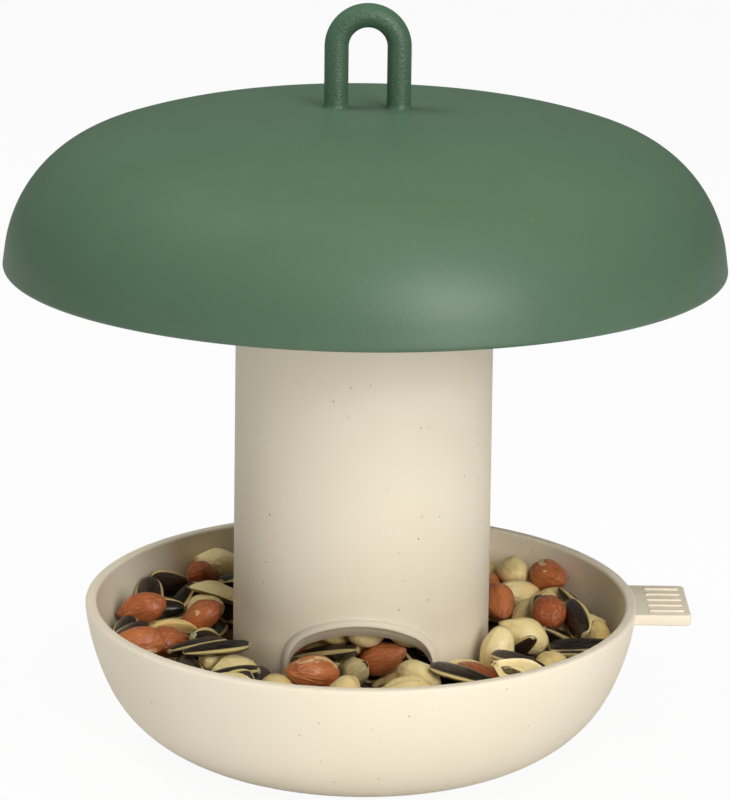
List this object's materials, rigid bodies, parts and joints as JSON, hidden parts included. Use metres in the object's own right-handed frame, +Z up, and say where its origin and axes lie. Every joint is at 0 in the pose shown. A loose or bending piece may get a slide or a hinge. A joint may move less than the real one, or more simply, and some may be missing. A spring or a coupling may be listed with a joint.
{
  "type": "bird feeder",
  "caption": "Hanging bird feeder: round feed bowl with a grip tab, silo tube with arched ports, domed rain roof and a hanging loop, filled with peanuts and sunflower seeds.",
  "frame": {"origin": "middle of the bowl's foot, on the ground", "axes": "+Z up along the silo's axis, -Y towards the front port, +X towards the grip tab"},
  "size_m": [0.2142, 0.2142, 0.2265],
  "materials": {
    "green_composite": "satin, fine grained",
    "cream_composite": "matt with sparse fibre specks",
    "steel": "bright",
    "seal_rubber": "matt",
    "feed": "matt, loose seeds",
    "peanut_kernel": "smooth, slightly oily",
    "peanut_skin": "papery, wrinkled",
    "sunflower_shell": "satin with pale stripes"
  },
  "bodies": {
    "bowl": {"bowl": "cream_composite", "feed_bed": "feed", "silo_feed": "feed", "peanut_kernels": "peanut_kernel", "redskin_peanuts": "peanut_skin", "sunflower_seeds": "sunflower_shell"},
    "seed_cone": {"seed_cone": "cream_composite"},
    "silo": {"silo_tube": "cream_composite"},
    "silo_seal": {"silo_seal": "seal_rubber"},
    "roof": {"roof_shell": "green_composite", "roof_collar": "green_composite", "collar_screws": "steel", "hanging_loop": "green_composite", "loop_plate": "steel", "loop_screws": "steel"}
  },
  "joints": [
    {"name": "silo_twist", "type": "hinge", "parent": "bowl", "child": "seed_cone", "pos_m": [0, 0, 0.012], "axis": [0, 0, -1], "range_deg": [0, 30]},
    {"name": "silo_lift", "type": "slide", "parent": "seed_cone", "child": "silo", "axis": [0, 0, 1], "range_m": [0, 0.08]},
    {"name": "roof_twist", "type": "hinge", "parent": "silo", "child": "silo_seal", "pos_m": [0, 0, 0.18], "axis": [0, 0, -1], "range_deg": [0, 30]},
    {"name": "roof_lift", "type": "slide", "parent": "silo_seal", "child": "roof", "axis": [0, 0, 1], "range_m": [0, 0.1]}
  ]
}
